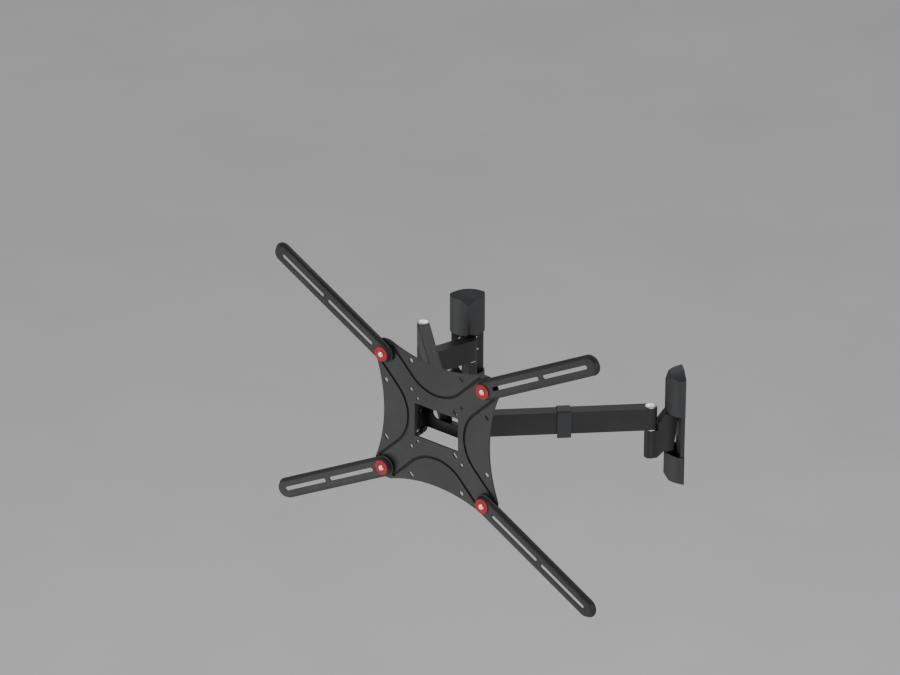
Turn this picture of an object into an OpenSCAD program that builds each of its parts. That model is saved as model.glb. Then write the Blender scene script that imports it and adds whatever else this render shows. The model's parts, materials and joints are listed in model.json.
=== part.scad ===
// Full motion corner wall mount for a television: two folding arms, one on each wall of a
// corner, carry a swivel frame, a tilting VESA plate and four extension arms.
// The origin is the middle of the left wall plate's back. The left wall is the plane y = 0,
// the right wall is parallel to the plane x = 0, and +z is up.

/* [Wall brackets] */
// Width of the pressed steel wall plate
plate_w = 52; // [46:0.5:64]
// Height of the wall plate
plate_h = 178; // [160:1:230]
// How far the front of the wall plate stands off the wall
plate_rise = 6.5; // [5:0.5:10]
// Distance from the wall to the axis of the wall pivot
pivot_out = 51; // [49:0.5:70]
// Height of the bracket's barrel below the arm
barrel_h = 49; // [40:1:60]
// Diameter of the opening behind the barrel
relief_d = 30; // [24:1:34]
// Distance between the upper and lower wall screws
screw_pitch = 140; // [130:1:190]
// Diameter of the wall screw holes
screw_hole_d = 8.5; // [6:0.5:10]

/* [Covers] */
// Depth of the plastic covers from the wall
cover_depth = 29; // [24:0.5:34]
// Wall of the plastic covers
cover_wall = 2.2; // [1.6:0.1:3]
// Height of the inner edge of the upper cover
cover_top_z = 27; // [26:0.5:32]
// Height of the inner edge of the lower cover
cover_low_z = -45; // [-60:0.5:-44]
// Rise of the arched outer end of a cover
cover_arch = 7; // [3:0.5:10]

/* [Arms] */
// Length of the long link between its pivots
long_link = 268; // [200:1:340]
// Length of the short link between its pivots
short_link = 92; // [60:1:140]
// Width of the arm tube
tube_w = 20; // [19:0.5:24]
// Height of the arm tube
tube_h = 38; // [32:0.5:46]
// Wall of the arm tube
tube_wall = 2; // [1.5:0.1:3]
// Gap in height between the lower and the upper links
level_gap = 17; // [10:0.5:26]
// Direction of the left inner link, wall pivot to elbow
left_inner_angle = 207.8; // [190:0.1:225]
// Direction of the left outer link, elbow to head
left_outer_angle = -88.4; // [-110:0.1:-75]
// Direction of the right outer link, head to elbow
right_outer_angle = 70.3; // [55:0.1:85]
// Direction of the right inner link, elbow to wall pivot
right_inner_angle = -1.2; // [-15:0.1:15]
// Distance of the cable clip from the right wall pivot
clip_at = 138; // [40:1:150]

/* [Pivots] */
// Diameter of the pivot pins
pin_d = 8; // [6:0.5:9]
// Wall of the nylon bushes in the links
bush_wall = 2; // [1.5:0.1:2.5]
// Thickness of the washers under the links
washer_t = 1.5; // [1:0.1:2.5]
// Height of the domed pin heads
pin_head_h = 2.4; // [1.5:0.1:4]

/* [Head] */
// Direction of the television's width, seen from above
tv_yaw = -45; // [-60:0.5:-30]
// Distance between the two head pivots
head_pitch = 44; // [36:0.5:60]
// Distance from the front of the extension arms to the head pivots
head_depth = 64; // [60:0.5:80]
// Thickness of the swivel frame's sheet steel
frame_t = 2.5; // [2:0.1:4]
// Height of the opening in the swivel frame's back
frame_window_h = 21; // [14:0.5:24]
// Diameter of the tilt bolts
tilt_bolt_d = 8; // [6:0.5:10]
// Diameter of the tilt lock bolts
lock_bolt_d = 6; // [5:0.5:8]
// Distance from the tilt axis to the lock bolts
lock_radius = 34; // [30:0.5:38]
// Tilt down, top of the screen forward
tilt_down = 15; // [5:1:18]
// Tilt up
tilt_up = 5; // [2:1:8]

/* [VESA plate] */
// Half of the distance between the plate's corner pivots
vesa_half = 100; // [80:1:120]
// Radius of the plate's rounded corners
corner_r = 22; // [20:0.5:30]
// How far the middle of each side is hollowed in
waist_in = 17.5; // [12:0.5:26]
// Thickness of the plate
vesa_t = 2.5; // [2:0.1:4]
// Width of the window in the middle
window_w = 86; // [80:0.5:96]
// Height of the window
window_h = 57; // [50:0.5:60]
// Width of the pressed groove beside the cross
groove_w = 4.4; // [2:0.1:5]
// Depth of the pressed groove
groove_d = 1.2; // [0.6:0.1:1.6]
// Diameter of the screw holes
vesa_hole_d = 6; // [4:0.1:8]
// Diameter of the larger screw holes near the plate's edges
edge_hole_d = 7.5; // [5:0.1:9]

/* [Extension arms] */
// Distance from an arm's pivot to the middle of its round tip
reach = 229; // [180:1:300]
// Width of an extension arm over its flange
arm_w = 34; // [28:0.5:40]
// Width of the raised middle of an extension arm
crown_w = 26; // [20:0.5:30]
// Depth of an extension arm from crown to flange
arm_depth = 8.5; // [6:0.5:10]
// Thickness of the arm's sheet steel
arm_t = 2.2; // [1.6:0.1:3]
// Width of the slots
slot_w = 6.5; // [5:0.1:9]
// Distance from an arm's pivot to the bridge between its two slots
bridge_at = 127; // [80:1:150]
// Angle of the arms above or below the horizontal
arm_angle = 28.5; // [0:0.5:60]
// Diameter of the corner screws
corner_screw_d = 6; // [5:0.5:8]

/* [Clearances] */
// Radial clearance of a running fit
run_clear = 0.05; // [0.02:0.01:0.1]
// Gap between faces that slide on each other
face_gap = 0.1; // [0.05:0.01:0.2]
// Gap between parts that pass each other
pass_gap = 0.3; // [0.2:0.05:1]
// Radial clearance of the right head pivot, where the linkage closes
closing_clear = 0.4; // [0.3:0.05:0.8]

/* [Hidden] */
$fn = 64;
eps = 0.01;

black_steel = "#3a3a3c";
black_plastic = "#2f3032";
bright_steel = "#c9ccd0";
white_nylon = "#e4e4de";
red_nylon = "#d3262b";

// Sizes that follow from the driving sizes
tube_r = tube_w / 2;
pin_r = pin_d / 2;
bush_r = pin_r + run_clear + bush_wall;
nut_af = 13;
nut_h = 6.5;
nut_bore_r = nut_af / sqrt(3) + 0.3;
lower_z = -2;
upper_z = lower_z + tube_h + level_gap;
tv_z = upper_z + tube_h / 2;
barrel_top = lower_z - washer_t - face_gap;
barrel_low = barrel_top - barrel_h;
elbow_top = upper_z - washer_t - face_gap;
sheet_t = 2.5;

// Form of the covers
cover_w = plate_w + 2 * (pass_gap + cover_wall);
cover_end_z = plate_h / 2 + pass_gap + cover_wall + 1.5;
front_arc_r = cover_w / 2 + 9.5;
crease = 4;
arc_back = sqrt(pow(front_arc_r, 2) - pow(crease, 2)) - cover_depth;
arch_fall = 14;

// Pivots in plan
function dir(a) = [cos(a), sin(a)];
left_pivot = [0, -pivot_out];
left_elbow = left_pivot + short_link * dir(left_inner_angle);
left_head = left_elbow + long_link * dir(left_outer_angle);
right_head = left_head + head_pitch * dir(tv_yaw);
right_elbow = right_head + short_link * dir(right_outer_angle);
right_pivot = right_elbow + long_link * dir(right_inner_angle);
tv_centre = left_head + head_pitch / 2 * dir(tv_yaw) - head_depth * dir(tv_yaw + 90);

// Depths in the head, behind the front of the corner washers
washer_front = 0;
red_t = 1.5;
crown_front = red_t + face_gap;
flange_back = crown_front + arm_depth;
vesa_front = flange_back + 2.9;
vesa_back = vesa_front + vesa_t;
frame_back = head_depth - tube_r - 11.5;
frame_front = frame_back - frame_t;
head_washer_t = 1;
lug_gap = tube_h + 2 * (head_washer_t + face_gap);
lug_t = 3;
lug_r = 12;
ear_t = 2.5;
cheek_out = window_w / 2 - pass_gap;
tilt_axis = [28, 10];
lock_at = [tilt_axis[0] + 4, tilt_axis[1] - lock_radius];
lock_rim = 5.5;
waist_half = vesa_half + corner_r - waist_in;

// ---- shapes used more than once ----

module slot_2d(length, width) {
    for (x = [0, length]) translate([x, 0]) circle(d = width);
    translate([0, -width / 2]) square([length, width]);
}

module rounded_2d(w, h, r) {
    square([w - 2 * r, h], center = true);
    square([w, h - 2 * r], center = true);
    for (x = [-1, 1], y = [-1, 1])
        translate([x * (w / 2 - r), y * (h / 2 - r)]) circle(r = r);
}

// A sheet that stands upright and faces the television, from depth y0 backwards
module upright(y0, t) {
    translate([0, y0 + t, 0]) rotate([90, 0, 0]) linear_extrude(t) children();
}

// A sheet across the television's width, drawn as depth and height, from x0 outwards
module sideways(x0, t) {
    translate([x0, 0, 0]) rotate([90, 0, 90]) linear_extrude(t) children();
}

module at_right_wall() {
    translate([right_pivot[0] + pivot_out, right_pivot[1], 0]) rotate([0, 0, -90]) children();
}

module at_plan(p, a = 0) {
    translate([p[0], p[1], 0]) rotate([0, 0, a]) children();
}

module at_head() {
    translate([tv_centre[0], tv_centre[1], tv_z]) rotate([0, 0, tv_yaw]) children();
}

module ring(z0, z1, r_out, r_in) {
    translate([0, 0, z0]) difference() {
        cylinder(h = z1 - z0, r = r_out);
        translate([0, 0, -1]) cylinder(h = z1 - z0 + 2, r = r_in);
    }
}

module hex_nut(z0, h, af, bore_r) {
    translate([0, 0, z0]) difference() {
        cylinder(h = h, d = af * 2 / sqrt(3), $fn = 6);
        translate([0, 0, -1]) cylinder(h = h + 2, r = bore_r);
    }
}

// A pin with a low domed head whose seat is at z1
module pin(z0, z1) {
    head_r = tube_r - 0.6;
    difference() {
        union() {
            translate([0, 0, z0]) cylinder(h = z1 - z0 + eps, r = pin_r);
            translate([0, 0, z1]) cylinder(h = pin_head_h / 2, r = head_r);
            translate([0, 0, z1 + pin_head_h / 2])
                cylinder(h = pin_head_h / 2, r1 = head_r, r2 = head_r - 2.6);
        }
        translate([0, 0, z1 + pin_head_h - 1]) cylinder(h = 2, r = 1.7);
    }
}

// ---- wall brackets ----

// A shallow pan with its rim on the wall; a dimple at each screw hole reaches the wall too
module plate_pan() {
    half = plate_w / 2;
    difference() {
        union() {
            difference() {
                translate([-half, -plate_rise, -plate_h / 2]) cube([plate_w, plate_rise, plate_h]);
                translate([-half + sheet_t, -plate_rise + sheet_t, -plate_h / 2 + sheet_t])
                    cube([plate_w - 2 * sheet_t, plate_rise, plate_h - 2 * sheet_t]);
            }
            for (z = [-1, 1]) translate([0, 0, z * screw_pitch / 2]) rotate([90, 0, 0])
                cylinder(h = plate_rise, d = screw_hole_d + 2 * sheet_t);
        }
        translate([0, 0, (cover_low_z + barrel_top) / 2 - 10]) rotate([90, 0, 0])
            cylinder(h = 3 * plate_rise, d = relief_d, center = true);
        for (z = [-1, 1]) translate([0, 0, z * screw_pitch / 2]) rotate([90, 0, 0])
            cylinder(h = 3 * plate_rise, d = screw_hole_d, center = true);
        for (x = [-1, 1]) {
            translate([x * 16, 0, -7.5]) rotate([90, 0, 0])
                cylinder(h = 3 * plate_rise, d = 4.4, center = true);
            translate([x * 14, 0, 13]) rotate([90, 0, 0]) rotate([0, 0, 60])
                linear_extrude(3 * plate_rise, center = true)
                    translate([-2, 0]) slot_2d(4, 2.6);
        }
    }
}

// The web that joins the barrel to the plate: chamfered in side view, swollen in plan
module bracket_web() {
    web_r = 60;
    web_half = 11.5;
    clear_out = pivot_out - tube_r - 1;
    weld_in = plate_rise - 0.6;
    web_low = cover_low_z + 5;
    intersection() {
        rotate([0, 0, -90]) rotate([90, 0, 0]) linear_extrude(2 * tube_w, center = true)
            polygon([[weld_in, cover_top_z + 7], [19, cover_top_z + 7],
                [19, cover_top_z - 1], [clear_out - 12, cover_top_z - 1],
                [clear_out, cover_top_z - 17], [clear_out, barrel_top],
                [pivot_out, barrel_top], [pivot_out, barrel_low],
                [clear_out + 2, barrel_low], [clear_out - 9, web_low],
                [plate_rise + 9, web_low], [plate_rise + 3.5, 8], [weld_in, 20]]);
        for_web_side(-1, web_r, web_half);
        for_web_side(1, web_r, web_half);
    }
}

module for_web_side(side, r, half) {
    translate([side * (r - half), -pivot_out / 2, barrel_low - 1])
        cylinder(h = cover_top_z - barrel_low + 12, r = r);
}

module wall_plate() {
    color(black_steel) difference() {
        union() {
            plate_pan();
            bracket_web();
            translate([0, -pivot_out, barrel_low]) cylinder(h = barrel_h, r = tube_r);
        }
        translate([0, -pivot_out, barrel_low - 1]) cylinder(h = barrel_h + 2, r = pin_r);
        translate([0, -pivot_out, barrel_low - 1]) cylinder(h = nut_h + 2, r = nut_bore_r);
    }
}

module left_wall_plate() {
    wall_plate();
}

module right_wall_plate() {
    at_right_wall() wall_plate();
}

// The cover's outer form, or with inset > 0 its hollow: two leaning arcs meet in a soft
// crease down the middle, and the far end is an arch that falls towards the front
module cover_form(h, inset) {
    half = cover_w / 2 - inset;
    back = inset > 0 ? 1 : 0;
    arch_r = pow(cover_w, 2) / (8 * cover_arch) + cover_arch / 2;
    intersection() {
        translate([-half, -2 * cover_depth, -1]) cube([2 * half, 2 * cover_depth + back, 2 * h]);
        for_cover_side(-1, 2 * h, inset);
        for_cover_side(1, 2 * h, inset);
        translate([0, 0, h + cover_arch - arch_r / cos(arch_fall)]) rotate([90 + arch_fall, 0, 0])
            cylinder(h = 6 * cover_depth, r = arch_r - inset, center = true, $fn = 160);
    }
}

// One of the two leaning arcs of a cover's front
module for_cover_side(side, h, inset) {
    translate([side * crease, arc_back, -2]) cylinder(h = h, r = front_arc_r - inset);
}

// A cover that stands on z = 0 with its arch upwards; two posts rest on the wall plate
module cover(h) {
    post_x = 14;
    post_end = sqrt(pow(front_arc_r - cover_wall, 2) - pow(post_x + crease, 2)) - arc_back + 0.6;
    color(black_plastic) {
        difference() {
            intersection() {
                cover_form(h, 0);
                translate([-plate_w, -2 * cover_depth, 0]) cube([2 * plate_w, 3 * cover_depth, 3 * h]);
            }
            cover_form(h, cover_wall);
        }
        for (x = [-1, 1]) translate([x * post_x, -plate_rise - face_gap, h / 3]) rotate([90, 0, 0])
            cylinder(h = post_end - plate_rise - face_gap, r = 2.6);
    }
}

module top_cover() {
    translate([0, 0, cover_top_z]) cover(cover_end_z - cover_top_z);
}

module bottom_cover() {
    mirror([0, 0, 1]) translate([0, 0, -cover_low_z]) cover(cover_end_z + cover_low_z);
}

module left_top_cover() {
    top_cover();
}

module left_bottom_cover() {
    bottom_cover();
}

module right_top_cover() {
    at_right_wall() top_cover();
}

module right_bottom_cover() {
    at_right_wall() bottom_cover();
}

module washer_disc(z0, t, r_in) {
    ring(z0, z0 + t, tube_r - 0.4, r_in);
}

module wall_washers() {
    color(bright_steel) for (p = [left_pivot, right_pivot])
        at_plan(p) washer_disc(barrel_top, washer_t, pin_r + run_clear);
}

module wall_pin() {
    color(bright_steel) pin(barrel_low + 1, lower_z + tube_h + face_gap);
}

module left_wall_pin() {
    at_plan(left_pivot) wall_pin();
}

module right_wall_pin() {
    at_plan(right_pivot) wall_pin();
}

module wall_pin_nuts() {
    color(bright_steel) for (p = [left_pivot, right_pivot])
        at_plan(p) hex_nut(barrel_low + 1, nut_h - 1, nut_af, pin_r);
}

// ---- arm links ----

// Tube with round ends. The first end always takes bushes; a riser makes the second end the
// lower half of an elbow, which holds the pin itself
module link(length, z0, riser) {
    second_bore = riser > 0 ? pin_r : bush_r;
    color(black_steel) difference() {
        union() {
            translate([0, 0, z0]) linear_extrude(tube_h) slot_2d(length, tube_w);
            if (riser > 0)
                translate([length, 0, z0]) cylinder(h = tube_h + riser, r = tube_r);
        }
        translate([tube_r + 2, -tube_r + tube_wall, z0 + tube_wall])
            cube([length - 2 * tube_r - 4, tube_w - 2 * tube_wall, tube_h - 2 * tube_wall]);
        translate([0, 0, z0 - 1]) cylinder(h = tube_h + 2, r = bush_r);
        translate([length, 0, z0 - 1]) cylinder(h = tube_h + riser + 2, r = second_bore);
        if (riser > 0)
            translate([length, 0, z0 - 1]) cylinder(h = nut_h + 2, r = nut_bore_r);
    }
}

module inner_link(length) {
    link(length, lower_z, elbow_top - lower_z - tube_h);
}

module outer_link(length) {
    link(length, upper_z, 0);
}

module left_inner_link() {
    at_plan(left_pivot, left_inner_angle) inner_link(short_link);
}

module left_outer_link() {
    at_plan(left_elbow, left_outer_angle) outer_link(long_link);
}

module right_inner_link() {
    at_plan(right_pivot, right_inner_angle + 180) inner_link(long_link);
}

module right_outer_link() {
    at_plan(right_elbow, right_outer_angle + 180) outer_link(short_link);
}

// Two plain bushes, one from each end of a bore that starts at z0
module bush_pair(z0, clear) {
    bush_len = tube_h / 3;
    for (z = [z0, z0 + tube_h - bush_len])
        ring(z, z + bush_len, bush_r, pin_r + clear);
}

module left_inner_bushes() {
    color(white_nylon) at_plan(left_pivot) bush_pair(lower_z, run_clear);
}

module right_inner_bushes() {
    color(white_nylon) at_plan(right_pivot) bush_pair(lower_z, run_clear);
}

module left_outer_bushes() {
    color(white_nylon) for (p = [left_elbow, left_head])
        at_plan(p) bush_pair(upper_z, run_clear);
}

module right_outer_bushes() {
    color(white_nylon) {
        at_plan(right_elbow) bush_pair(upper_z, run_clear);
        at_plan(right_head) bush_pair(upper_z, closing_clear);
    }
}

module elbow_pin() {
    color(bright_steel) pin(lower_z + 1, upper_z + tube_h + face_gap);
}

module left_elbow_pin() {
    at_plan(left_elbow) elbow_pin();
}

module right_elbow_pin() {
    at_plan(right_elbow) elbow_pin();
}

module elbow_nut() {
    color(bright_steel) hex_nut(lower_z + 1, nut_h - 1, nut_af, pin_r);
}

module left_elbow_nut() {
    at_plan(left_elbow) elbow_nut();
}

module right_elbow_nut() {
    at_plan(right_elbow) elbow_nut();
}

module elbow_washer() {
    color(bright_steel) washer_disc(elbow_top, washer_t, pin_r);
}

module left_elbow_washer() {
    at_plan(left_elbow) elbow_washer();
}

module right_elbow_washer() {
    at_plan(right_elbow) elbow_washer();
}

// A plastic clip that slides along the right inner link and holds cables under the tube
module cable_clip() {
    clip_l = 22;
    clip_wall = 2;
    cable_room = 5;
    mouth = 7;
    out_w = tube_w + 2 * (pass_gap + clip_wall);
    in_h = tube_h + 2 * pass_gap + cable_room;
    color(black_plastic) at_plan(right_pivot, right_inner_angle + 180)
        translate([clip_at - clip_l / 2, 0, lower_z + tube_h + pass_gap - in_h / 2])
            rotate([90, 0, 90]) linear_extrude(clip_l) difference() {
                rounded_2d(out_w, in_h + 2 * clip_wall, 3);
                rounded_2d(out_w - 2 * clip_wall, in_h, 0.8);
                translate([-mouth / 2, -in_h]) square([mouth, in_h / 2 + 2]);
            }
}

// ---- head ----

// Bent sheet: an open back plate, two cheeks that reach forward inside the plate's ears, and
// an upper and a lower lug that hold both head pins
module swivel_frame() {
    lug_in = lug_gap / 2;
    half_h = lug_in + lug_t;
    window_low = -3.4;
    color(black_steel) at_head() difference() {
        union() {
            upright(frame_front, frame_t) square([2 * cheek_out, 2 * half_h], center = true);
            for (x = [cheek_out - frame_t, -cheek_out]) sideways(x, frame_t) cheek_2d(half_h);
            for (z = [-half_h, lug_in]) translate([0, 0, z]) linear_extrude(lug_t) lug_2d();
        }
        upright(frame_front - 1, frame_t + 2) translate([0, window_low + frame_window_h / 2])
            rounded_2d(2 * cheek_out - 28, frame_window_h, 9);
        for (x = [-1, 1]) translate([x * head_pitch / 2, head_depth, -half_h - 1])
            cylinder(h = 2 * half_h + 2, r = pin_r);
        at_tilt(tilt_axis) cylinder(h = 3 * cheek_out, d = tilt_bolt_d, center = true);
        at_tilt(lock_at) cylinder(h = 3 * cheek_out, d = lock_bolt_d, center = true);
    }
}

module cheek_2d(half_h) {
    difference() {
        polygon([[frame_front - 17, half_h], [frame_back, half_h], [frame_back, -half_h],
            [frame_front, lock_at[1] - lock_rim], [lock_at[0] - lock_rim, lock_at[1] - lock_rim],
            [frame_front - 17, -half_h + 8]]);
        translate([frame_front - 9, half_h]) circle(d = 6);
    }
}

module lug_2d() {
    for (x = [-1, 1]) translate([x * head_pitch / 2, head_depth]) circle(r = lug_r);
    translate([-head_pitch / 2, frame_front]) square([head_pitch, head_depth + lug_r - frame_front]);
    translate([-head_pitch / 2 - lug_r, frame_front])
        square([head_pitch + 2 * lug_r, head_depth - frame_front]);
}

// Turns an upright cylinder into one across the head, at a depth and a height
module at_tilt(p) {
    translate([0, p[0], p[1]]) rotate([0, 90, 0]) children();
}

module head_pin() {
    half_h = lug_gap / 2 + lug_t;
    color(bright_steel) pin(tv_z - half_h - nut_h - 2, tv_z + half_h);
}

module left_head_pin() {
    at_plan(left_head) head_pin();
}

module right_head_pin() {
    at_plan(right_head) head_pin();
}

module head_pin_nuts() {
    color(bright_steel) for (p = [left_head, right_head])
        at_plan(p) hex_nut(tv_z - lug_gap / 2 - lug_t - nut_h, nut_h, nut_af, pin_r);
}

module head_washers() {
    color(white_nylon) for (p = [left_head, right_head], z = [-lug_gap / 2, lug_gap / 2 - head_washer_t])
        at_plan(p) washer_disc(tv_z + z, head_washer_t, pin_r);
}

// Hardware across the head, drawn for the right side and mirrored to the left
module both_sides() {
    for (x = [0, 1]) mirror([x, 0, 0]) children();
}

module cross_bolt(p, d, head_d, head_h) {
    in = cheek_out - frame_t;
    out = window_w / 2 + ear_t + 1.6 + d;
    at_head() both_sides() {
        translate([in, 0, 0]) at_tilt(p) cylinder(h = out - in, d = d);
        translate([in - head_h, 0, 0]) at_tilt(p) cylinder(h = head_h + eps, d = head_d);
    }
}

module cross_nut(p, d, af) {
    at_head() both_sides() translate([window_w / 2 + ear_t + face_gap + 1.4, 0, 0]) at_tilt(p)
        hex_nut(0, d * 0.75, af, d / 2);
}

module tilt_bolts() {
    color(bright_steel) cross_bolt(tilt_axis, tilt_bolt_d, 13, 3);
}

module lock_bolts() {
    color(bright_steel) cross_bolt(lock_at, lock_bolt_d, 10, 2.4);
}

module tilt_nuts() {
    color(bright_steel) cross_nut(tilt_axis, tilt_bolt_d, 13);
}

module lock_nuts() {
    color(bright_steel) cross_nut(lock_at, lock_bolt_d, 10);
}

module tilt_washers() {
    color(white_nylon) at_head() both_sides() {
        translate([window_w / 2 + ear_t + face_gap, 0, 0]) at_tilt(tilt_axis)
            ring(0, 1.4, 9, tilt_bolt_d / 2);
        translate([window_w / 2 + ear_t + face_gap, 0, 0]) at_tilt(lock_at)
            ring(0, 1.4, 7, lock_bolt_d / 2);
    }
}

// ---- VESA plate ----

module plate_outline() {
    waist_r = 250;
    difference() {
        rounded_2d(2 * (vesa_half + corner_r), 2 * (vesa_half + corner_r), corner_r);
        for (a = [0:90:270]) rotate(a) translate([0, waist_half + waist_r])
            circle(r = waist_r, $fn = 240);
    }
}

// One quarter of the pressed groove: an arc with a straight run to each corner
module groove_2d() {
    arc_r = 67;
    arc_low = waist_half - 49;
    arc_y = arc_low + arc_r;
    knee = arc_r * cos(45);
    run = (vesa_half - knee) * sqrt(2) - 18;
    intersection() {
        difference() {
            translate([0, arc_y]) circle(r = arc_r + groove_w / 2);
            translate([0, arc_y]) circle(r = arc_r - groove_w / 2);
        }
        polygon([[0, arc_y], [-2 * knee, arc_y - 2 * knee], [2 * knee, arc_y - 2 * knee]]);
    }
    for (s = [0, 1]) mirror([s, 0]) translate([knee, arc_y - knee]) rotate(45)
        translate([-0.1, -groove_w / 2]) square([run, groove_w]);
}

// Screw holes: round ones and short slots that lie across the falling diagonal
function plate_round_holes() = [[-37.5, 37.5], [-37.5, -37.5], [-50, 50], [50, 50], [50, -50],
    [-50, -50], [-50, vesa_half], [-vesa_half, 50], [vesa_half, -50], [50, -vesa_half]];
function plate_slot_holes() = [[37.5, 37.5], [37.5, -37.5], [50, vesa_half], [vesa_half, 50],
    [-vesa_half, -50], [-50, -vesa_half]];

// Inner holes are small, the ones outside the VESA 100 square are large
function plate_hole_d(off) = off < 60 ? vesa_hole_d - 1 : off < 80 ? vesa_hole_d : edge_hole_d;

module plate_holes() {
    for (p = plate_round_holes()) translate(p) circle(d = plate_hole_d(norm(p)));
    for (p = plate_slot_holes()) translate(p) rotate(-45) translate([-2.5, 0])
        slot_2d(5, vesa_hole_d - 1);
    for (x = [-vesa_half, vesa_half], y = [-vesa_half, vesa_half]) translate([x, y])
        circle(d = corner_screw_d);
    translate([-window_w / 2, -window_h / 2]) square([window_w, window_h]);
}

module ear_2d() {
    top = 27;
    low = lock_at[1] - lock_rim - 4.5;
    back = frame_back - 1;
    difference() {
        polygon([[vesa_front + 1, top], [back - 6, top], [back, top - 7], [back, low + 13],
            [back - 7, low], [vesa_front + 1, low]]);
        translate(tilt_axis) circle(r = tilt_bolt_d / 2 + run_clear);
        translate(tilt_axis) lock_slot_2d();
    }
}

// The curved slot that the lock bolt runs in, for both ends of the tilt
module lock_slot_2d() {
    rest = atan2(lock_at[1] - tilt_axis[1], lock_at[0] - tilt_axis[0]);
    slack = 1.5;
    r = norm(lock_at - tilt_axis);
    from = rest - tilt_down - slack;
    to = rest + tilt_up + slack;
    half = lock_bolt_d / 2 + pass_gap;
    intersection() {
        difference() {
            circle(r = r + half);
            circle(r = r - half);
        }
        polygon([[0, 0], 2 * r * dir(from), 2 * r * dir(to)]);
    }
    for (a = [from, to]) translate(r * dir(a)) circle(r = half);
}

module vesa_plate() {
    color(black_steel) at_head() difference() {
        union() {
            upright(vesa_front, vesa_t) difference() {
                plate_outline();
                plate_holes();
            }
            for (x = [window_w / 2, -window_w / 2 - ear_t]) sideways(x, ear_t) ear_2d();
        }
        for (a = [0:90:270]) upright(vesa_front - 1, groove_d + 1) rotate(a) groove_2d();
    }
}

// ---- extension arms ----

// Pressed hat section with two slots; the pivot is at the origin and the tip on +x
module extension_arm() {
    bridge_w = 10;
    first = 25;
    first_l = bridge_at - (bridge_w + slot_w) / 2 - first;
    second = bridge_at + (bridge_w + slot_w) / 2;
    lip = 2 * arm_t;
    color(black_steel) difference() {
        union() {
            upright(crown_front, arm_depth) slot_2d(reach, crown_w);
            upright(flange_back - arm_t, arm_t) slot_2d(reach, arm_w);
        }
        upright(crown_front + arm_t, arm_depth) slot_2d(reach, crown_w - lip);
        upright(crown_front - 1, arm_depth + 2) {
            circle(d = corner_screw_d + 0.2);
            translate([first, 0]) slot_2d(first_l, slot_w);
            translate([second, 0]) slot_2d(reach - slot_w / 2 - 2.5 - second, slot_w);
        }
    }
}

module at_corner(x, z, a) {
    at_head() translate([x * vesa_half, 0, z * vesa_half]) rotate([0, -a, 0]) children();
}

module top_left_arm() {
    at_corner(-1, 1, 180 - arm_angle) extension_arm();
}

module top_right_arm() {
    at_corner(1, 1, arm_angle) extension_arm();
}

module bottom_left_arm() {
    at_corner(-1, -1, 180 + arm_angle) extension_arm();
}

module bottom_right_arm() {
    at_corner(1, -1, -arm_angle) extension_arm();
}

// Places a child drawn along +y (depth) at each of the four corners
module each_corner(y0) {
    at_head() for (x = [-1, 1], z = [-1, 1])
        translate([x * vesa_half, y0, z * vesa_half]) rotate([-90, 0, 0]) children();
}

module corner_screws() {
    head_h = 2.2;
    color(bright_steel) each_corner(washer_front - head_h) {
        cylinder(h = vesa_back + 7 + head_h, d = corner_screw_d);
        cylinder(h = head_h, d = 9.5);
    }
}

module corner_washers() {
    color(red_nylon) each_corner(washer_front) ring(0, red_t, 12.3, corner_screw_d / 2);
}

module corner_spacers() {
    top = crown_front + arm_t + face_gap;
    color(black_steel) each_corner(top) ring(0, vesa_front - top, 7.5, corner_screw_d / 2);
}

module corner_nuts() {
    color(bright_steel) each_corner(vesa_back) hex_nut(0, 5, 10, corner_screw_d / 2);
}

left_wall_plate();
right_wall_plate();
left_top_cover();
left_bottom_cover();
right_top_cover();
right_bottom_cover();
wall_washers();
left_wall_pin();
right_wall_pin();
wall_pin_nuts();
left_inner_link();
left_outer_link();
right_inner_link();
right_outer_link();
left_inner_bushes();
left_outer_bushes();
right_inner_bushes();
right_outer_bushes();
left_elbow_pin();
right_elbow_pin();
left_elbow_nut();
right_elbow_nut();
left_elbow_washer();
right_elbow_washer();
cable_clip();
swivel_frame();
left_head_pin();
right_head_pin();
head_pin_nuts();
head_washers();
tilt_bolts();
tilt_nuts();
tilt_washers();
lock_bolts();
lock_nuts();
vesa_plate();
top_left_arm();
top_right_arm();
bottom_left_arm();
bottom_right_arm();
corner_screws();
corner_washers();
corner_spacers();
corner_nuts();
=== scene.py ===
import bpy
import bmesh
import json
import math
from mathutils import Matrix, Vector

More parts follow.
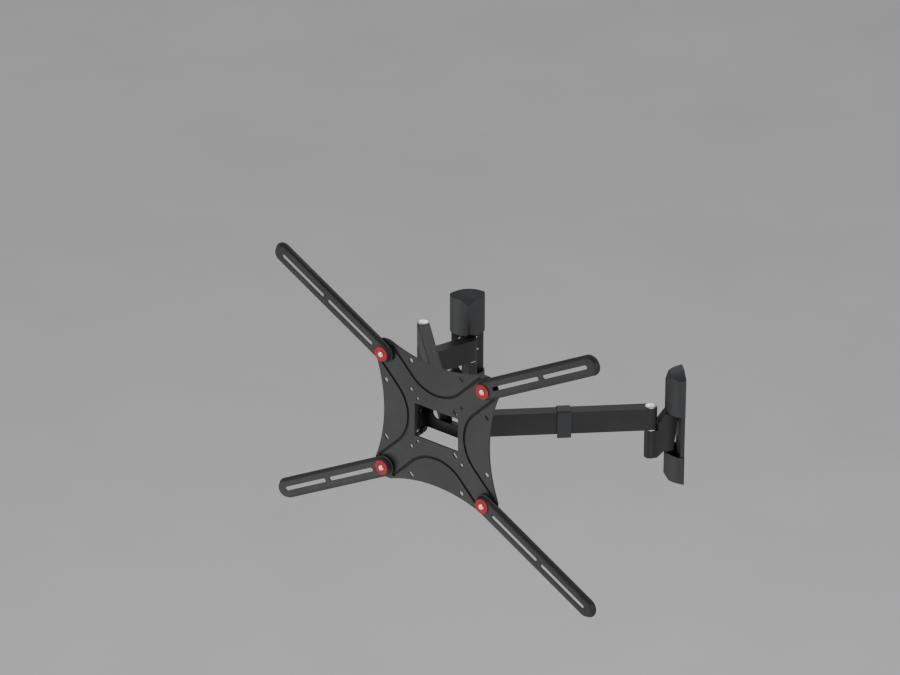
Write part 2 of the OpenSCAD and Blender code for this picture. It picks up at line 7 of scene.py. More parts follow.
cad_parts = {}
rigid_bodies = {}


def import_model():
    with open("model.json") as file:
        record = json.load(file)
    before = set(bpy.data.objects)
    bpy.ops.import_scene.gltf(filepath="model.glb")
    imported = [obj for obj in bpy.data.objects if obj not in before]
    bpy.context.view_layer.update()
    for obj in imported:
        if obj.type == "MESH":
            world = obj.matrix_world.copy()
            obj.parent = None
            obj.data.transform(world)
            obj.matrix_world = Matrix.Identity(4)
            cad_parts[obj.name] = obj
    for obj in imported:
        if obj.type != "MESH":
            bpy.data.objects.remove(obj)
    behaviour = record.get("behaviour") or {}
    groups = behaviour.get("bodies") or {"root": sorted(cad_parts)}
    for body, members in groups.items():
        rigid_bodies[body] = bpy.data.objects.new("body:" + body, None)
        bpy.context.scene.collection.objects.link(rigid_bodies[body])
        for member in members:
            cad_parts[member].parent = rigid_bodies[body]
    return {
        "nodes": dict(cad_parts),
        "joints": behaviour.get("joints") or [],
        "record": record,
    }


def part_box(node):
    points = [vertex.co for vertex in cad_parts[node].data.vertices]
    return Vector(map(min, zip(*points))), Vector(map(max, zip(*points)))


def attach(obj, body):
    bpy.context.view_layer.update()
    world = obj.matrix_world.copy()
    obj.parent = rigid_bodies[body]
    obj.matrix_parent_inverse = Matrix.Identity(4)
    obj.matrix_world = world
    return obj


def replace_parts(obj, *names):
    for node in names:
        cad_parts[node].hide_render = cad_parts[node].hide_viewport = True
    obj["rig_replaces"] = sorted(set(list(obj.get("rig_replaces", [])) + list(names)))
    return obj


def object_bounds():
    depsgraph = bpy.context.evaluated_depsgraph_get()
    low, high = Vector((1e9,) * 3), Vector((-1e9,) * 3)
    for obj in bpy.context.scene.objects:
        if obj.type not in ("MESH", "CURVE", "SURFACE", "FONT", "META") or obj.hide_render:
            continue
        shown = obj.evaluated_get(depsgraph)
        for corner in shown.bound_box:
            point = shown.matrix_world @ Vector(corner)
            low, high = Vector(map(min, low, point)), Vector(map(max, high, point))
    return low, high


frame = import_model()
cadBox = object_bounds()
print("frame loaded:", len(frame["nodes"]), "nodes")

mm = 0.001  # millimetres to metres


def hexColour(text):
    # sRGB hex to linear RGBA
    channels = [int(text[i:i + 2], 16) / 255 for i in (1, 3, 5)]
    linear = [c / 12.92 if c <= 0.04045 else ((c + 0.055) / 1.055) ** 2.4 for c in channels]
    return (*linear, 1.0)


def addNode(tree, kind, settings=None, links=None):
    # settings are input values, ramp stops or attributes; links are (output socket, input name)
    node = tree.nodes.new(kind)
    for key, value in (settings or {}).items():
        if key == "stops":
            for element, (position, colour) in zip(node.color_ramp.elements, value):
                element.position = position
                element.color = colour
        elif isinstance(key, int) or key in node.inputs:
            node.inputs[key].default_value = value
        else:
            setattr(node, key, value)
    for source, target in (links or []):
        tree.links.new(source, node.inputs[target])
    return node


def newMaterial(name):
    material = bpy.data.materials.new(name)
    material.use_nodes = True
    tree = material.node_tree
    tree.nodes.clear()
    output = addNode(tree, "ShaderNodeOutputMaterial")
    shader = addNode(tree, "ShaderNodeBsdfPrincipled")
    tree.links.new(shader.outputs["BSDF"], output.inputs["Surface"])
    place = addNode(tree, "ShaderNodeTexCoord").outputs["Object"]
    return material, tree, shader, place


def grey(value):
    return (value, value, value, 1.0)


def powderCoat(name, low, high):
    # Polyester powder coat, satin black with a fine texture: a soft charcoal that shows a broad
    # grey sheen under the lights, with tiny peaks and slightly rubbed, lighter edges
    look = {"worn": "#3c3c3d", "grain": 1.1, "peel": 7.0, "drift": 70.0, "rough": (0.44, 0.56),
            "edges": (0.53, 0.60), "peelHeight": 0.6, "grainHeight": 0.25}
    material, tree, shader, place = newMaterial(name)
    grain = addNode(tree, "ShaderNodeTexNoise",
                    {"Scale": 1 / (look["grain"] * mm), "Detail": 3.0, "Roughness": 0.6},
                    [(place, "Vector")]).outputs["Fac"]
    peel = addNode(tree, "ShaderNodeTexNoise", {"Scale": 1 / (look["peel"] * mm), "Detail": 2.0},
                   [(place, "Vector")]).outputs["Fac"]
    drift = addNode(tree, "ShaderNodeTexNoise", {"Scale": 1 / (look["drift"] * mm), "Detail": 3.0},
                    [(place, "Vector")]).outputs["Fac"]
    geometry = addNode(tree, "ShaderNodeNewGeometry")
    rubFrom, rubTo = look["edges"]
    rub = addNode(tree, "ShaderNodeValToRGB", {"stops": ((rubFrom, grey(0)), (rubTo, grey(1)))},
                  [(geometry.outputs["Pointiness"], "Fac")]).outputs["Color"]
    patches = addNode(tree, "ShaderNodeValToRGB", {"stops": ((0.4, grey(0.1)), (0.65, grey(0.8)))},
                      [(drift, "Fac")]).outputs["Color"]
    broken = addNode(tree, "ShaderNodeMath", {"operation": "MULTIPLY"}, [(rub, 0), (patches, 1)])
    tint = addNode(tree, "ShaderNodeValToRGB",
                   {"stops": ((0.35, hexColour(low)), (0.65, hexColour(high)))},
                   [(drift, "Fac")]).outputs["Color"]
    colour = addNode(tree, "ShaderNodeMix", {"data_type": "RGBA", 7: hexColour(look["worn"])},
                     [(broken.outputs[0], 0), (tint, 6)])
    tree.links.new(colour.outputs[2], shader.inputs["Base Color"])
    smooth, dull = look["rough"]
    rough = addNode(tree, "ShaderNodeMapRange",
                    {"From Min": 0.3, "From Max": 0.7, "To Min": smooth, "To Max": dull},
                    [(grain, "Value")])
    tree.links.new(rough.outputs[0], shader.inputs["Roughness"])
    waves = addNode(tree, "ShaderNodeBump", {"Strength": 0.12, "Distance": look["peelHeight"] * mm},
                    [(peel, "Height")])
    bump = addNode(tree, "ShaderNodeBump", {"Strength": 0.22, "Distance": look["grainHeight"] * mm},
                   [(grain, "Height"), (waves.outputs["Normal"], "Normal")])
    tree.links.new(bump.outputs["Normal"], shader.inputs["Normal"])
    shader.inputs["IOR"].default_value = 1.5
    shader.inputs["Specular IOR Level"].default_value = 0.3
    return material


def texturedAbs():
    # Injection-moulded ABS with a spark-eroded texture: an even dark grey with a dull sheen
    # and a pebbled grain
    look = {"low": "#2a2b2d", "high": "#2e2f31", "pebble": 0.9, "fine": 0.5, "drift": 50.0,
            "rough": (0.5, 0.62), "height": 0.2}
    material, tree, shader, place = newMaterial("sparkTexturedAbs")
    pebbles = addNode(tree, "ShaderNodeTexVoronoi",
                      {"Scale": 1 / (look["pebble"] * mm), "feature": "SMOOTH_F1", "Smoothness": 0.6},
                      [(place, "Vector")]).outputs["Distance"]
    fine = addNode(tree, "ShaderNodeTexNoise", {"Scale": 1 / (look["fine"] * mm), "Detail": 2.0},
                   [(place, "Vector")]).outputs["Fac"]
    drift = addNode(tree, "ShaderNodeTexNoise", {"Scale": 1 / (look["drift"] * mm), "Detail": 2.0},
                    [(place, "Vector")]).outputs["Fac"]
    tint = addNode(tree, "ShaderNodeValToRGB",
                   {"stops": ((0.35, hexColour(look["low"])), (0.65, hexColour(look["high"])))},
                   [(drift, "Fac")]).outputs["Color"]
    tree.links.new(tint, shader.inputs["Base Color"])
    smooth, dull = look["rough"]
    rough = addNode(tree, "ShaderNodeMapRange", {"To Min": smooth, "To Max": dull}, [(fine, "Value")])
    tree.links.new(rough.outputs[0], shader.inputs["Roughness"])
    height = addNode(tree, "ShaderNodeMath", {"operation": "ADD"}, [(pebbles, 0), (fine, 1)])
    bump = addNode(tree, "ShaderNodeBump", {"Strength": 0.2, "Distance": look["height"] * mm},
                   [(height.outputs[0], "Height")])
    tree.links.new(bump.outputs["Normal"], shader.inputs["Normal"])
    shader.inputs["IOR"].default_value = 1.53
    return material


def zincSteel(name, low, high, roughness):
    # Zinc-plated steel, bright or black: faint cloudy spangle and turning marks under a plated shine
    look = {"spangle": 3.0, "marks": 0.4, "height": 0.1, "smoother": 0.06, "duller": 0.08}
    material, tree, shader, place = newMaterial(name)
    clouds = addNode(tree, "ShaderNodeTexNoise", {"Scale": 1 / (look["spangle"] * mm), "Detail": 4.0},
                     [(place, "Vector")]).outputs["Fac"]
    marks = addNode(tree, "ShaderNodeTexNoise", {"Scale": 1 / (look["marks"] * mm), "Detail": 2.0},
                    [(place, "Vector")]).outputs["Fac"]
    tint = addNode(tree, "ShaderNodeValToRGB",
                   {"stops": ((0.3, hexColour(low)), (0.7, hexColour(high)))},
                   [(clouds, "Fac")]).outputs["Color"]
    tree.links.new(tint, shader.inputs["Base Color"])
    rough = addNode(tree, "ShaderNodeMapRange",
                    {"To Min": roughness - look["smoother"], "To Max": roughness + look["duller"]},
                    [(clouds, "Value")])
    tree.links.new(rough.outputs[0], shader.inputs["Roughness"])
    bump = addNode(tree, "ShaderNodeBump", {"Strength": 0.08, "Distance": look["height"] * mm},
                   [(marks, "Height")])
    tree.links.new(bump.outputs["Normal"], shader.inputs["Normal"])
    shader.inputs["Metallic"].default_value = 1.0
    return material


def mouldedNylon(name, low, high):
    # Moulded nylon: waxy, slightly translucent, with a soft highlight and flow marks
    look = {"flow": 4.0, "rough": (0.32, 0.46), "height": 0.2, "glow": 0.04, "glowDepth": 1.0}
    material, tree, shader, place = newMaterial(name)
    flow = addNode(tree, "ShaderNodeTexNoise", {"Scale": 1 / (look["flow"] * mm), "Detail": 3.0},
                   [(place, "Vector")]).outputs["Fac"]
    tint = addNode(tree, "ShaderNodeValToRGB",
                   {"stops": ((0.3, hexColour(low)), (0.7, hexColour(high)))},
                   [(flow, "Fac")]).outputs["Color"]
    tree.links.new(tint, shader.inputs["Base Color"])
    smooth, dull = look["rough"]
    rough = addNode(tree, "ShaderNodeMapRange", {"To Min": smooth, "To Max": dull}, [(flow, "Value")])
    tree.links.new(rough.outputs[0], shader.inputs["Roughness"])
    bump = addNode(tree, "ShaderNodeBump", {"Strength": 0.06, "Distance": look["height"] * mm},
                   [(flow, "Height")])
    tree.links.new(bump.outputs["Normal"], shader.inputs["Normal"])
    shader.inputs["Subsurface Weight"].default_value = look["glow"]
    shader.inputs["Subsurface Radius"].default_value = [look["glowDepth"] * mm] * 3
    shader.inputs["Specular IOR Level"].default_value = 0.2
    return material


def grooveShadePaint():
    # Painted shade for the foot of a pressed groove: the same powder coat drawn near black and dull
    # in place of the shade there, so the line of the pressing reads dark
    look = {"low": "#0c0c0d", "high": "#161617", "grain": 1.1, "height": 0.2, "rough": 0.75}
    material, tree, shader, place = newMaterial("pooledPowderCoat")
    grain = addNode(tree, "ShaderNodeTexNoise", {"Scale": 1 / (look["grain"] * mm), "Detail": 3.0},
                    [(place, "Vector")]).outputs["Fac"]
    tint = addNode(tree, "ShaderNodeValToRGB",
                   {"stops": ((0.35, hexColour(look["low"])), (0.65, hexColour(look["high"])))},
                   [(grain, "Fac")]).outputs["Color"]
    tree.links.new(tint, shader.inputs["Base Color"])
    bump = addNode(tree, "ShaderNodeBump", {"Strength": 0.2, "Distance": look["height"] * mm},
                   [(grain, "Height")])
    tree.links.new(bump.outputs["Normal"], shader.inputs["Normal"])
    shader.inputs["Roughness"].default_value = look["rough"]
    return material


steelBlack = powderCoat("satinBlackPowderCoat", "#2a2a2b", "#303031")
# the swivel frame's powder coat drawn near black: painted shade for its place inside the window
steelShadeDarkened = powderCoat("deepBlackPowderCoat", "#0e0e0f", "#141415")
grooveShadeCoat = grooveShadePaint()
plasticBlack = texturedAbs()
steelBright = zincSteel("brightZincPlatedSteel", "#e6e7e8", "#fbfbfa", 0.3)
steelDark = zincSteel("blackZincPlatedSteel", "#2c2d2f", "#3c3d40", 0.34)
nylonWhite = mouldedNylon("naturalNylon", "#dfe0da", "#f1f1ec")
nylonRed = mouldedNylon("redNylon", "#9c0009", "#b4020c")
print("materials ready")


def dress(obj, material):
    obj.data.materials.clear()
    obj.data.materials.append(material)


slotMaterials = {"black_steel": steelBlack, "black_plastic": plasticBlack,
                 "zinc_steel": steelBright, "white_nylon": nylonWhite, "red_nylon": nylonRed}
# nodes drawn darker than their slot's usual material: black zinc as the finish of the bolts and nuts,
# and painted shade on the swivel frame and the left wall pin
ownFinishAndShade = {"swivel_frame": steelShadeDarkened, "tilt_bolts": steelDark, "lock_bolts": steelDark,
             "tilt_nuts": steelDark, "lock_nuts": steelDark, "corner_nuts": steelDark,
             # the left wall pin is bright zinc but drawn in black zinc: painted shade and dark
             # reflection under the left cover
             "left_wall_pin": steelDark}
nodeSlot = {part["node"]: part["material_slot"] for part in frame["record"]["subparts"]}
nodeBody = {node: body for body, nodes in frame["record"]["behaviour"]["bodies"].items()
            for node in nodes}
joints = {joint["name"]: joint for joint in frame["joints"]}


def finish(node):
    # the material of a frame node: its own, or that of its slot in the record
    return ownFinishAndShade.get(node) or slotMaterials[nodeSlot[node]]


for node, obj in frame["nodes"].items():
    dress(obj, finish(node))


def addPiece(name, shape, node, place=None, smoothAngle=35, extra=None):
    # turns a bmesh in local millimetres, or in frame metres with no place, into a finished piece
    if place is not None:
        bmesh.ops.transform(shape, matrix=place, verts=shape.verts)
    mesh = bpy.data.meshes.new(name)
    shape.to_mesh(mesh)
    shape.free()
    obj = bpy.data.objects.new(name, mesh)
    bpy.context.scene.collection.objects.link(obj)
    for material in [finish(node)] + (extra or []):
        mesh.materials.append(material)
    mesh.shade_smooth()
    mesh.set_sharp_from_angle(angle=math.radians(smoothAngle))
    weighted = obj.modifiers.new("evenNormals", "WEIGHTED_NORMAL")
    weighted.keep_sharp = True
    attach(obj, nodeBody[node])
    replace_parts(obj, node)


def camel(node):
    words = node.split("_")
    return words[0] + "".join(w.capitalize() for w in words[1:])


def roundEdges(shape, width, segments, sharpest=28):
    # rounds every edge that folds by more than this many degrees
    folds = [e for e in shape.edges
             if len(e.link_faces) == 2 and math.degrees(e.calc_face_angle(0)) > sharpest]
    bmesh.ops.bevel(shape, geom=folds, offset=width, offset_type="OFFSET", affect="EDGES",
                    segments=segments, profile=0.5, material=-1, clamp_overlap=True)


mergeLook = {"gap": 0.002, "flat": 0.6}  # mm, degrees


def copyOf(node):
    # a merged copy of a frame node's mesh, still in frame metres
    shape = bmesh.new()
    shape.from_mesh(frame["nodes"][node].data)
    bmesh.ops.remove_doubles(shape, verts=shape.verts, dist=mergeLook["gap"] * mm)
    bmesh.ops.dissolve_limit(shape, angle_limit=math.radians(mergeLook["flat"]), verts=shape.verts,
                             edges=shape.edges)
    return shape


def reach(node, direction):
    # lowest and highest place of a node along a direction, in metres
    places = [v.co.dot(direction) for v in frame["nodes"][node].data.vertices]
    return min(places), max(places)


def stadium(shape, radius, start, end, height, cap=False, segments=48):
    # a ring with two round ends, from start to end along x
    turn = Matrix.Rotation(math.pi / segments, 4, "Z")
    ring = bmesh.ops.create_circle(shape, cap_ends=cap, segments=segments, radius=radius,
                                   matrix=Matrix.Translation((start, 0, height)) @ turn)["verts"]
    ahead = [v for v in ring if v.co.x > start]
    bmesh.ops.translate(shape, verts=ahead, vec=(end - start, 0, 0))
    return ring


def ringEdges(ring):
    inside = set(ring)
    return list({e for v in ring for e in v.link_edges if e.other_vert(v) in inside})


upward = Vector((0, 0, 1))
# away from the television
backward = -Vector(joints["top_left_arm_swing"]["axis"]).normalized()
across = backward.cross(upward)
cornerNames = ["top_left_arm", "top_right_arm", "bottom_left_arm", "bottom_right_arm"]
cornerPivots = {n: Vector(joints[n + "_swing"]["pos_m"]) for n in cornerNames}
headCentre = sum(cornerPivots.values(), Vector()) / len(cornerNames)
headCentre += backward * (reach("corner_washers", backward)[0] - headCentre.dot(backward))
headPlace = Matrix((across, backward, upward)).transposed().to_4x4()
headPlace.translation = headCentre
headPlace = headPlace @ Matrix.Scale(mm, 4)
headDepth = headCentre.dot(backward)

armLook = {"angle": 28.5, "length": 229.0, "flange": 17.0, "flat": 1.8, "crown": 13.4, "sheet": 2.0,
           "fold": 1.5, "hole": 3.3, "slot": 3.25, "slotSides": 24, "first": 25.0, "bridge": 127.0,
           "bridgeWidth": 10.0, "endLand": 5.75, "cutEdge": 0.35}


def extensionArm(node):
    look = armLook
    near, far = [(d - headDepth) / mm for d in reach(node, backward)]  # crown front, flange back
    rise = far - near - look["sheet"]
    shape = bmesh.new()
    stadium(shape, look["flange"], 0, look["length"], 0, cap=True)
    cap = shape.faces[:]
    bmesh.ops.inset_region(shape, faces=cap, thickness=look["flat"], use_even_offset=True,
                           use_boundary=True)
    slope = look["flange"] - look["flat"] - look["crown"]
    bmesh.ops.inset_region(shape, faces=cap, thickness=slope, depth=rise, use_even_offset=True,
                           use_boundary=True)
    roundEdges(shape, look["fold"], 3)
    crown = max(shape.faces, key=lambda f: f.calc_center_median().z)
    rim = list(crown.edges)
    height = crown.calc_center_median().z
    bmesh.ops.delete(shape, geom=[crown], context="FACES_ONLY")
    half = (look["bridgeWidth"] + 2 * look["slot"]) / 2
    openings = [(look["hole"], 0, 0.001),  # the screw hole is a slot of almost no length
                (look["slot"], look["first"], look["bridge"] - half),
                (look["slot"], look["bridge"] + half, look["length"] - look["endLand"])]
    rings = [stadium(shape, radius, start, end, height, segments=look["slotSides"])
             for radius, start, end in openings]
    edges = rim + [e for ring in rings for e in ringEdges(ring)]
    bmesh.ops.triangle_fill(shape, use_beauty=True, use_dissolve=False, edges=edges,
                            normal=(0, 0, 1))
    bmesh.ops.recalc_face_normals(shape, faces=shape.faces)
    if sum(f.normal.z * f.calc_area() for f in shape.faces) < 0:
        bmesh.ops.reverse_faces(shape, faces=shape.faces)
    bmesh.ops.solidify(shape, geom=shape.faces[:], thickness=look["sheet"])
    roundEdges(shape, look["cutEdge"], 2, 50)
    # sheet plane (x along, y across, z to the television) to the head's axes, then to the corner
    stand = Matrix.Rotation(math.radians(90), 4, "X")
    pivot = headPlace.inverted() @ cornerPivots[node]
    side = -1 if "left" in node else 1
    tilt = look["angle"] if "top" in node else -look["angle"]
    turn = tilt if side > 0 else 180 - tilt
    place = headPlace @ Matrix.Translation((pivot.x, far - look["sheet"], pivot.z)) \
        @ Matrix.Rotation(math.radians(-turn), 4, "Y") @ stand
    addPiece(camel(node), shape, node, place, 28)


for name in cornerNames:
    extensionArm(name)
print("extension arms built")


# the groove's floor and how much deeper it is pressed; nothing of it lies past its foot
plateLook = {"grooveFloor": 1.2, "deeper": 0.8, "grooveFoot": 2.3, "near": 0.05, "edge": 0.55}


def vesaPlate():
    node = "vesa_plate"
    shape = copyOf(node)
    front = reach(node, backward)[0]
    floorAt = front + plateLook["grooveFloor"] * mm
    groove = [v for v in shape.verts
              if abs(v.co.dot(backward) - floorAt) < plateLook["near"] * mm]
    inGroove = set(groove)
    bmesh.ops.translate(shape, verts=groove, vec=backward * plateLook["deeper"] * mm)
    foot = front + plateLook["grooveFoot"] * mm
    # faces at the groove's floor take the near-black coat: painted shade in the groove
    for face in shape.faces:
        deepest = max(v.co.dot(backward) for v in face.verts)
        if any(v in inGroove for v in face.verts) and deepest < foot:
            face.material_index = 1
    roundEdges(shape, plateLook["edge"] * mm, 2)
    addPiece("vesaPlate", shape, node, extra=[grooveShadeCoat])


vesaPlate()
print("plate built")


# half of the cover's section, half width against depth from the wall
coverSection = [(28.5, 0.0), (27.8, 8.6), (25.2, 12.4), (20.6, 17.2), (15.2, 21.4), (9.4, 25.0),
                (4.2, 27.8), (1.6, 28.9), (0.0, 29.0)]
coverLook = {"arch": 7.0, "archPlanes": 13, "fall": 17.0, "noseDepth": 21.3, "noseDrop": 6.6,
             "noseLean": (-0.792, 0.61), "wall": 1.8, "edge": 2.6, "spare": 1.0}


def coverShell(height):
    # a cover that stands on z = 0 with its arched end up, its back on the plane y = 0
    look = coverLook
    shape = bmesh.new()
    points = [(-x, d) for x, d in coverSection[:-1]] + [(x, d) for x, d in reversed(coverSection)]
    base = shape.faces.new([shape.verts.new((x, -d, 0)) for x, d in points])
    top = bmesh.ops.extrude_face_region(shape, geom=[base])["geom"]
    bmesh.ops.translate(shape, verts=[g for g in top if isinstance(g, bmesh.types.BMVert)],
                        vec=(0, 0, height + look["arch"] + look["spare"]))
    bmesh.ops.recalc_face_normals(shape, faces=shape.faces)
    halfWidth = coverSection[0][0]
    radius = halfWidth ** 2 / (2 * look["arch"]) + look["arch"] / 2
    swing = math.asin(halfWidth / radius)
    centre = height + look["arch"] - radius
    fall = math.tan(math.radians(look["fall"]))
    cuts = []
    for i in range(look["archPlanes"]):
        a = swing * (2 * i / (look["archPlanes"] - 1) - 1)
        touch = Vector((radius * math.sin(a), 0, centre + radius * math.cos(a)))
        cuts.append((touch, Vector((math.sin(a), -fall * math.cos(a), math.cos(a))).normalized()))
    nose = Vector((0, -look["noseDepth"], height + look["arch"] - look["noseDrop"]))
    cuts.append((nose, Vector((0, look["noseLean"][0], look["noseLean"][1]))))
    for point, normal in cuts:
        geometry = shape.verts[:] + shape.edges[:] + shape.faces[:]
        cut = bmesh.ops.bisect_plane(shape, geom=geometry, plane_co=point, plane_no=normal,
                                     clear_outer=True)
        rim = [g for g in cut["geom_cut"] if isinstance(g, bmesh.types.BMEdge)]
        if len(rim) > 2:
            bmesh.ops.contextual_create(shape, geom=rim)
    bmesh.ops.remove_doubles(shape, verts=shape.verts, dist=0.01)
    bmesh.ops.recalc_face_normals(shape, faces=shape.faces)
    openings = [f for f in shape.faces if f.normal.y > 0.99 or f.normal.z < -0.99]
    bmesh.ops.delete(shape, geom=openings, context="FACES")
    roundEdges(shape, look["edge"], 4, 14)
    bmesh.ops.solidify(shape, geom=shape.faces[:], thickness=look["wall"])
    for vert in shape.verts:  # the open edges end flat on the wall and at the foot
        vert.co.y = min(vert.co.y, 0)
        vert.co.z = max(vert.co.z, 0)
    return shape


def buildCovers():
    for side in ("left", "right"):
        low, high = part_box(side + "_wall_plate")
        if side == "left":
            wall = Matrix.Translation(((low.x + high.x) / 2, high.y, 0))
        else:
            wall = Matrix.Translation((high.x, (low.y + high.y) / 2, 0)) \
                @ Matrix.Rotation(math.radians(-90), 4, "Z")
        for end, sign in (("top", 1), ("bottom", -1)):
            node = f"{side}_{end}_cover"
            coverLow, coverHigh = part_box(node)
            inner = coverLow.z if sign > 0 else coverHigh.z
            height = (coverHigh.z - coverLow.z) / mm - coverLook["arch"]
            shape = coverShell(height)
            if sign < 0:
                bmesh.ops.scale(shape, verts=shape.verts, vec=(1, 1, -1))
                bmesh.ops.reverse_faces(shape, faces=shape.faces)
            place = wall @ Matrix.Translation((0, 0, inner)) @ Matrix.Scale(mm, 4)
            addPiece(camel(node), shape, node, place, 30)


buildCovers()
print("covers built")


pinLook = {"dome": 2.4, "socket": 2.3, "socketDepth": 1.3, "shank": 4.0}
# a head's outline, as parts of its radius and of its height, above a rim broken by this much
headLook = {"rim": 0.3, "steps": ((1.0, 0.36), (0.93, 0.62), (0.76, 0.84), (0.52, 0.95)),
            "flat": 1.25, "lip": 0.1, "chamfer": (0.8, 0.48)}


def domedHead(shape, radius, height, socket, depth, steps=48):
    # a low domed head with a hexagon socket, seated on z = 0
    outline = [(radius - headLook["rim"], 0), (radius, headLook["rim"])]
    outline += [(radius * out, height * up) for out, up in headLook["steps"]]
    outline.append((socket * headLook["flat"], height))
    points = [shape.verts.new((r, 0, z)) for r, z in outline]
    edges = [shape.edges.new(pair) for pair in zip(points, points[1:])]
    bmesh.ops.spin(shape, geom=points + edges, axis=(0, 0, 1), cent=(0, 0, 0), angle=math.tau,
                   steps=steps, use_merge=True)
    bmesh.ops.remove_doubles(shape, verts=shape.verts, dist=0.001)
    rim = [e for e in shape.edges if e.is_boundary and e.verts[0].co.z > height / 2]
    sunk = Matrix.Translation((0, 0, height - headLook["lip"]))
    hexagon = bmesh.ops.create_circle(shape, cap_ends=False, segments=6, radius=socket,
                                      matrix=sunk)["verts"]
    side = ringEdges(hexagon)
    bmesh.ops.bridge_loops(shape, edges=rim + side)
    down = bmesh.ops.extrude_edge_only(shape, edges=side)["geom"]
    bottom = [g for g in down if isinstance(g, bmesh.types.BMVert)]
    bmesh.ops.translate(shape, verts=bottom, vec=(0, 0, -depth))
    foot = [g for g in down if isinstance(g, bmesh.types.BMEdge)
            and g.verts[0] in bottom and g.verts[1] in bottom]
    bmesh.ops.contextual_create(shape, geom=foot)
    seat = [e for e in shape.edges if e.is_boundary and abs(e.verts[0].co.z) < 0.01]
    return seat


def shankFrom(shape, seat, radius, length):
    # closes the seat and draws the shank down from it, to a chamfered end
    chamfer, taper = headLook["chamfer"]
    face = bmesh.ops.contextual_create(shape, geom=seat)["faces"][0]
    outer = math.hypot(face.verts[0].co.x, face.verts[0].co.y)
    bmesh.ops.inset_region(shape, faces=[face], thickness=outer - radius, use_even_offset=True,
                           use_boundary=True)
    for depth, inset in ((length - chamfer, 0), (chamfer, taper)):
        drawn = bmesh.ops.extrude_face_region(shape, geom=[face])["geom"]
        bmesh.ops.delete(shape, geom=[face], context="FACES_ONLY")
        face = next(g for g in drawn if isinstance(g, bmesh.types.BMFace))
        bmesh.ops.translate(shape, verts=face.verts, vec=(0, 0, -depth))
        if inset:
            scale = (radius - inset) / radius
            bmesh.ops.scale(shape, verts=face.verts, vec=(scale, scale, 1))


def buildPins():
    for node in [n for n in frame["nodes"] if n.endswith("_pin")]:
        low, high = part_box(node)
        middle = (low + high) / 2
        radius = (high.x - low.x) / 2 / mm
        shape = bmesh.new()
        seat = domedHead(shape, radius, pinLook["dome"], pinLook["socket"], pinLook["socketDepth"])
        shankFrom(shape, seat, pinLook["shank"], (high.z - low.z) / mm - pinLook["dome"])
        bmesh.ops.recalc_face_normals(shape, faces=shape.faces)
        place = Matrix.Translation((middle.x, middle.y, high.z - pinLook["dome"] * mm)) \
            @ Matrix.Scale(mm, 4)
        addPiece(camel(node), shape, node, place, 30)


screwLook = {"radius": 4.75, "dome": 2.2, "socket": 1.9, "socketDepth": 1.1, "shank": 3.0,
             "steps": 36}


def buildCornerScrews():
    near, far = [(d - headDepth) / mm for d in reach("corner_screws", backward)]
    whole = bmesh.new()
    for name in cornerNames:
        pivot = headPlace.inverted() @ cornerPivots[name]
        shape = bmesh.new()
        seat = domedHead(shape, screwLook["radius"], screwLook["dome"], screwLook["socket"],
                         screwLook["socketDepth"], screwLook["steps"])
        shankFrom(shape, seat, screwLook["shank"], far - near - screwLook["dome"])
        bmesh.ops.recalc_face_normals(shape, faces=shape.faces)
        place = Matrix.Translation((pivot.x, near + screwLook["dome"], pivot.z)) \
            @ Matrix.Rotation(math.radians(90), 4, "X")
        bmesh.ops.transform(shape, matrix=place, verts=shape.verts)
        part = bpy.data.meshes.new("cornerScrew")
        shape.to_mesh(part)
        shape.free()
        whole.from_mesh(part)
        bpy.data.meshes.remove(part)
    addPiece("cornerScrews", whole, "corner_screws", headPlace, 30)


buildPins()
buildCornerScrews()
print("pins and screws built")


# pieces kept in their frame shape, with their edges rounded as pressing, moulding and turning
# leave them: radius in mm and segments, by what the node's name holds
edgeRadius = {"wall_plate": (0.9, 3), "link": (1.6, 3), "clip": (0.7, 2), "swivel_frame": (0.8, 3),
              "nut": (0.45, 2), "washer": (0.3, 2), "bush": (0.3, 2), "bolt": (0.4, 2),
              "spacer": (0.3, 2)}
built = set(n for o in bpy.data.objects for n in o.get("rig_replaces", []))
for node in sorted(set(frame["nodes"]) - built):
    width, segments = next(v for k, v in edgeRadius.items() if k in node)
    shape = copyOf(node)
    roundEdges(shape, width * mm, segments)
    addPiece(camel(node), shape, node)
print("remaining pieces built:", len(frame["nodes"]) - len(built))


stageLook = {"drop": 1.3, "floorHalf": 14.0, "mottle": 330.0, "low": "#e9e9e7",
             "high": "#efefed", "rough": 0.85}


def buildStage():
    low, high = cadBox
    mesh = bpy.data.meshes.new("studioFloor")
    sheet = bmesh.new()
    bmesh.ops.create_grid(sheet, x_segments=1, y_segments=1, size=stageLook["floorHalf"])
    bmesh.ops.translate(sheet, verts=sheet.verts, vec=(0, 0, low.z - stageLook["drop"]))
    sheet.to_mesh(mesh)
    sheet.free()
    floor = bpy.data.objects.new("studioFloor", mesh)
    bpy.context.scene.collection.objects.link(floor)
    # pale matt floor paint: an even off-white with a faint rolled mottle
    material, tree, shader, place = newMaterial("palePaintedFloor")
    mottle = addNode(tree, "ShaderNodeTexNoise",
                     {"Scale": 1 / (stageLook["mottle"] * mm), "Detail": 3.0},
                     [(place, "Vector")]).outputs["Fac"]
    ends = ((0.3, hexColour(stageLook["low"])), (0.7, hexColour(stageLook["high"])))
    tint = addNode(tree, "ShaderNodeValToRGB", {"stops": ends}, [(mottle, "Fac")]).outputs["Color"]
    tree.links.new(tint, shader.inputs["Base Color"])
    shader.inputs["Roughness"].default_value = stageLook["rough"]
    dress(floor, material)


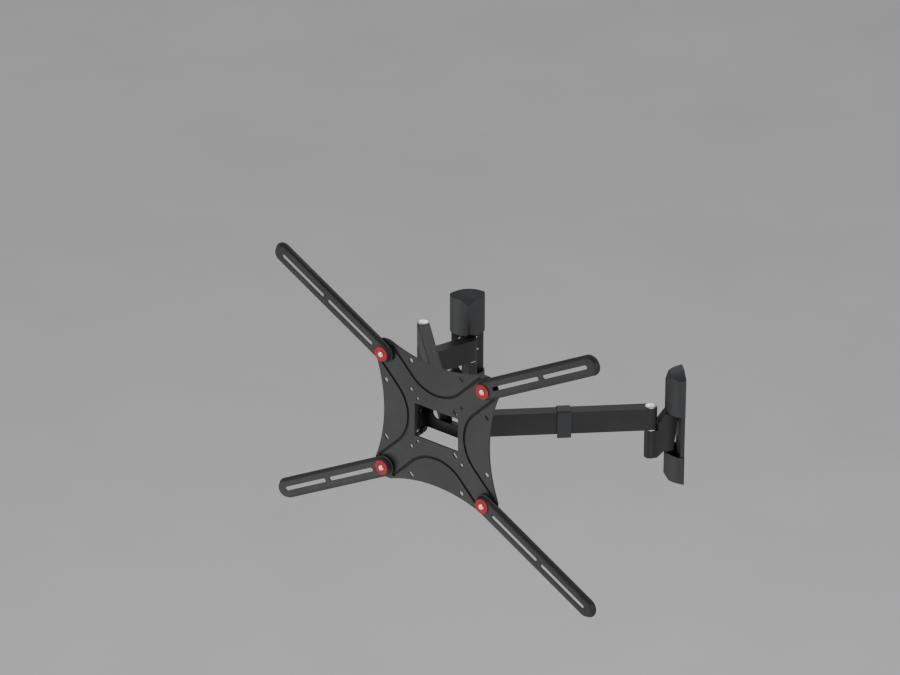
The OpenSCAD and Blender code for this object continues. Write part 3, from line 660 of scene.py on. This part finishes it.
def areaLight(name, place, target, size, power):
    light = bpy.data.lights.new(name, "AREA")
    light.shape = "RECTANGLE"
    light.size = light.size_y = size
    light.energy = power
    obj = bpy.data.objects.new(name, light)
    obj.location = place
    obj.rotation_euler = (Vector(target) - Vector(place)).to_track_quat("-Z", "Y").to_euler()
    bpy.context.scene.collection.objects.link(obj)


# each light's place from the mount's middle in metres, its side in metres and its power in watts
lightLook = {"key": ((-2.7, -1.6, 1.1), 1.4, 42), "fill": ((2.6, -1.7, 0.5), 1.6, 34),
             "kicker": ((-1.5, -0.25, -0.8), 0.8, 6), "overhead": ((0.3, 2.3, 1.35), 0.9, 6),
             "sparkle": ((0.25, -1.9, -1.05), 0.9, 5)}
roomLook = {"colour": "#f4f5f7", "strength": 0.42}


def buildLights():
    middle = (cadBox[0] + cadBox[1]) / 2
    for name, (place, size, power) in lightLook.items():
        areaLight(name + "Light", middle + Vector(place), middle, size, power)
    world = bpy.data.worlds.new("softRoom")
    world.use_nodes = True
    background = world.node_tree.nodes["Background"]
    background.inputs["Color"].default_value = hexColour(roomLook["colour"])
    background.inputs["Strength"].default_value = roomLook["strength"]
    bpy.context.scene.world = world


# the camera stands left of the mount and above it, on a long lens
cameraLook = {"place": (-0.8711, -7.7325, 4.0245), "pitch": 62.7172, "heading": -6.2223,
              "roll": 0.1169, "lens": 215.95, "sensor": 36.0, "farEnd": 60}


def buildCamera():
    camera = bpy.data.cameras.new("viewCamera")
    camera.lens = cameraLook["lens"]
    camera.sensor_width = cameraLook["sensor"]
    camera.clip_end = cameraLook["farEnd"]
    obj = bpy.data.objects.new("viewCamera", camera)
    obj.location = cameraLook["place"]
    turn = Matrix.Rotation(math.radians(cameraLook["heading"]), 3, "Z") \
        @ Matrix.Rotation(math.radians(cameraLook["pitch"]), 3, "X") \
        @ Matrix.Rotation(math.radians(cameraLook["roll"]), 3, "Z")
    obj.rotation_euler = turn.to_euler()
    bpy.context.scene.collection.objects.link(obj)
    bpy.context.scene.camera = obj


buildStage()
buildLights()
buildCamera()
print("stage, lights and camera ready")
